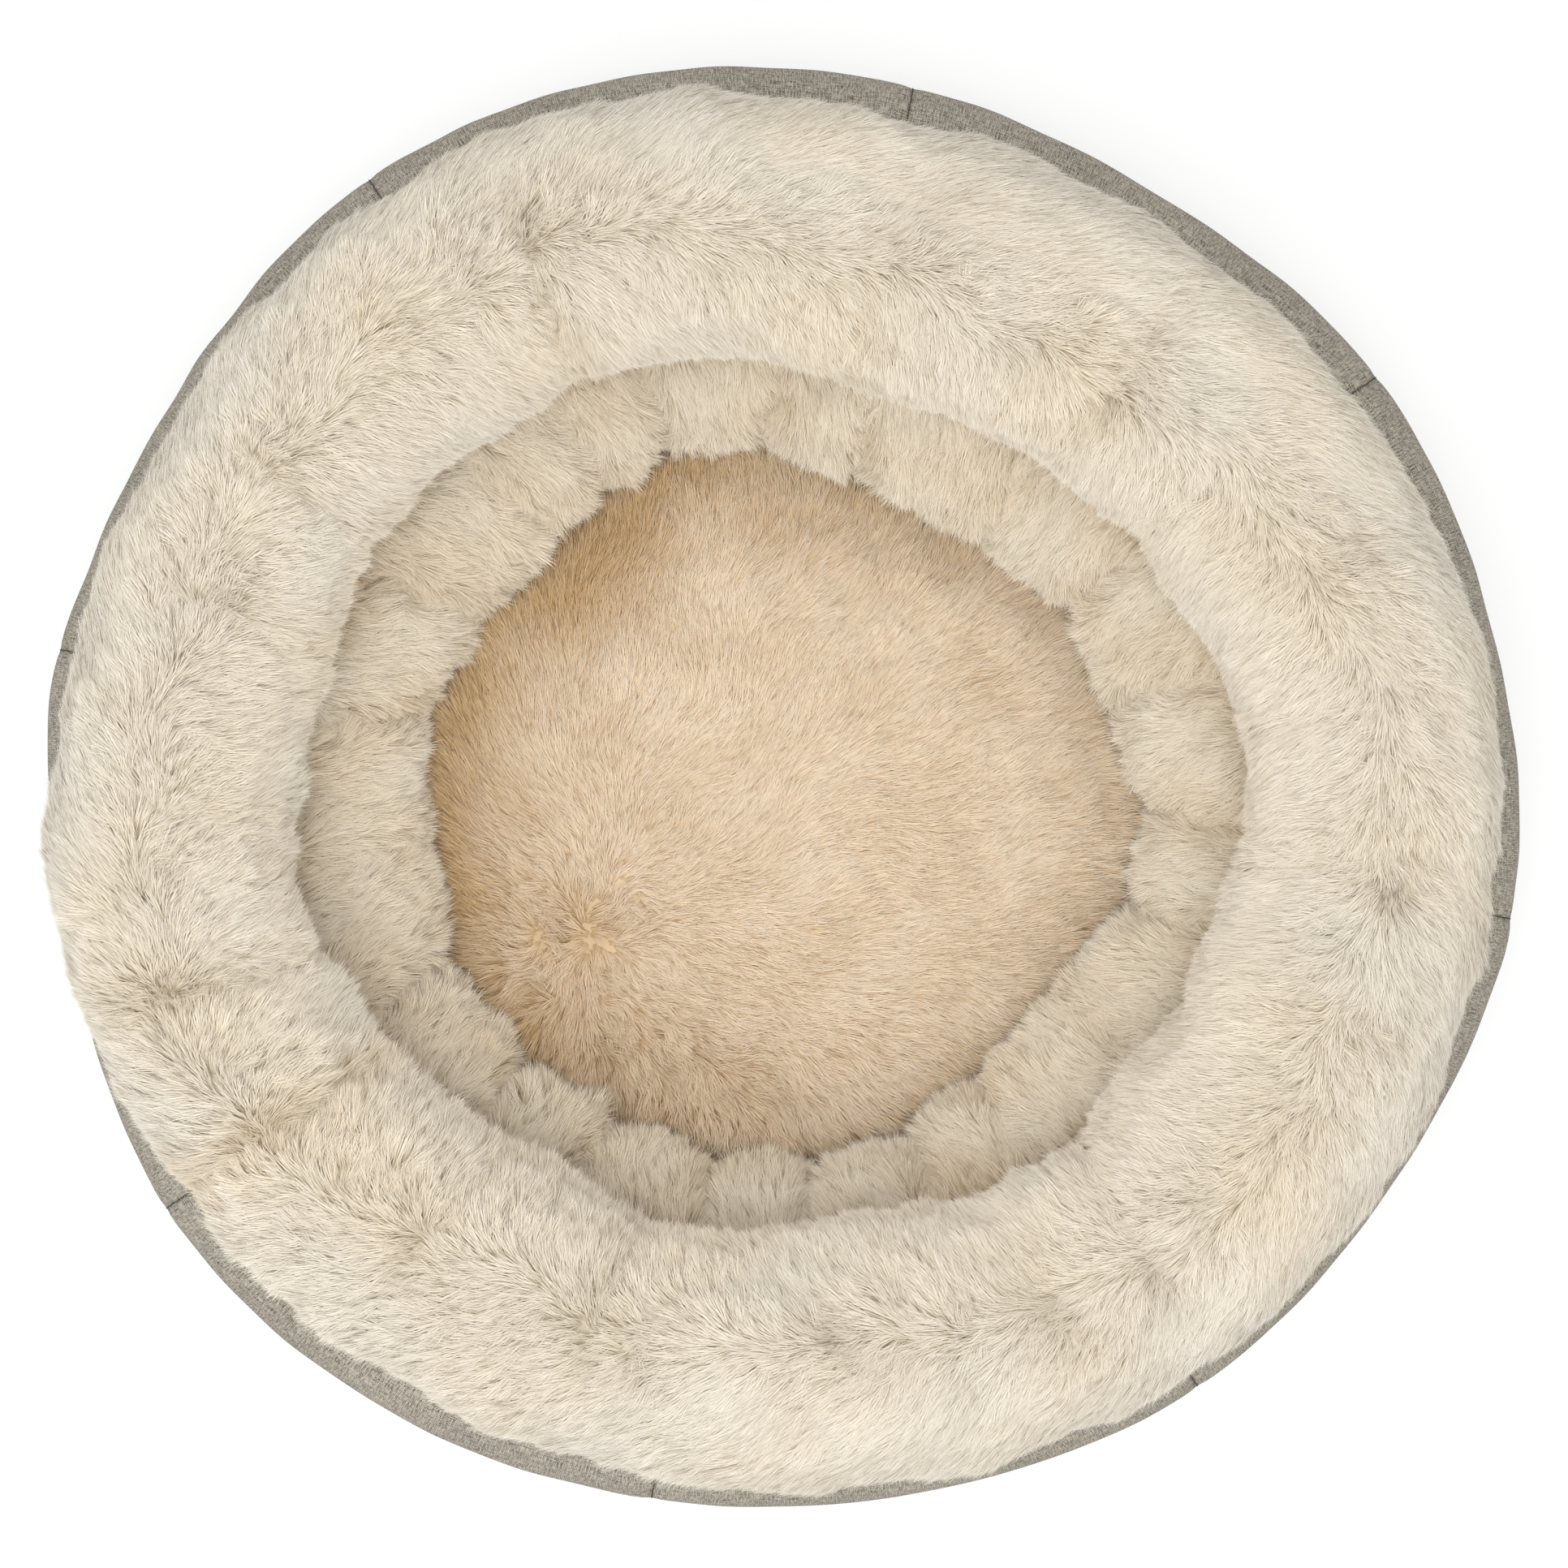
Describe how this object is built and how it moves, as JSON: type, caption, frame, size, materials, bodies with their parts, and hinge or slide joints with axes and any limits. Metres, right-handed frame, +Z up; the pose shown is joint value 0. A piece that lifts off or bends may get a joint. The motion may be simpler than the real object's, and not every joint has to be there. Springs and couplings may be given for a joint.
{
  "type": "dog bed",
  "caption": "Round donut dog bed with a long-pile plush ring on a flared linen-look wall, a gathered lower ring and a lift-out plush cushion.",
  "frame": {"origin": "on the floor, at the middle of the base cloth", "axes": "+Z up; +X and +Y are right and up in the overhead picture; the cushion's zip lies along X"},
  "size_m": [0.7922, 0.7816, 0.2277],
  "materials": {
    "cream_plush": "long-pile polyester plush, cream, matt with a soft sheen",
    "inner_plush": "long-pile polyester plush, gathered, shaded cream",
    "tan_plush": "long-pile polyester plush, warm tan",
    "linen_wall": "woven linen-look polyester, grey melange, matt",
    "lining_cloth": "plain woven polyester",
    "base_cloth": "dark woven cloth with moulded non-slip dots",
    "fibre_filling": "loose white polyester fibre",
    "foam": "open-cell foam sheet",
    "zip_tape": "woven polyester tape",
    "zip_coil": "wound nylon",
    "zip_metal": "nickel-plated zinc, worn satin"
  },
  "bodies": {
    "bed": {"side_panel_1": "linen_wall", "side_panel_2": "linen_wall", "side_panel_3": "linen_wall", "side_panel_4": "linen_wall", "side_panel_5": "linen_wall", "side_panel_6": "linen_wall", "side_panel_7": "linen_wall", "side_panel_8": "linen_wall", "bolster_plush_1": "cream_plush", "bolster_plush_2": "cream_plush", "bolster_plush_3": "cream_plush", "bolster_plush_4": "cream_plush", "bolster_plush_5": "cream_plush", "bolster_plush_6": "cream_plush", "bolster_plush_7": "cream_plush", "bolster_plush_8": "cream_plush", "inner_plush_1": "inner_plush", "inner_plush_2": "inner_plush", "inner_plush_3": "inner_plush", "inner_plush_4": "inner_plush", "inner_plush_5": "inner_plush", "inner_plush_6": "inner_plush", "inner_plush_7": "inner_plush", "inner_plush_8": "inner_plush", "partition_cloth": "lining_cloth", "bolster_fill": "fibre_filling", "wall_fill": "fibre_filling", "base_cloth": "base_cloth", "base_pad": "foam", "floor_lining": "lining_cloth"},
    "cushion": {"cushion_plush": "tan_plush", "cushion_underside": "lining_cloth", "cushion_fill": "fibre_filling", "zip_welt": "lining_cloth", "zip_tape_left": "zip_tape", "zip_tape_right": "zip_tape", "zip_coil_left": "zip_coil", "zip_coil_right": "zip_coil", "zip_stop_front": "zip_metal", "zip_stop_back": "zip_metal"},
    "slider": {"zip_slider": "zip_metal"}
  },
  "joints": [
    {"name": "cushion_lift", "type": "slide", "parent": "bed", "child": "cushion", "axis": [0, 0, 1], "range_m": [0, 0.26]},
    {"name": "zip_slide", "type": "slide", "parent": "cushion", "child": "slider", "axis": [-1, 0, 0], "range_m": [0, 0.2209]}
  ]
}
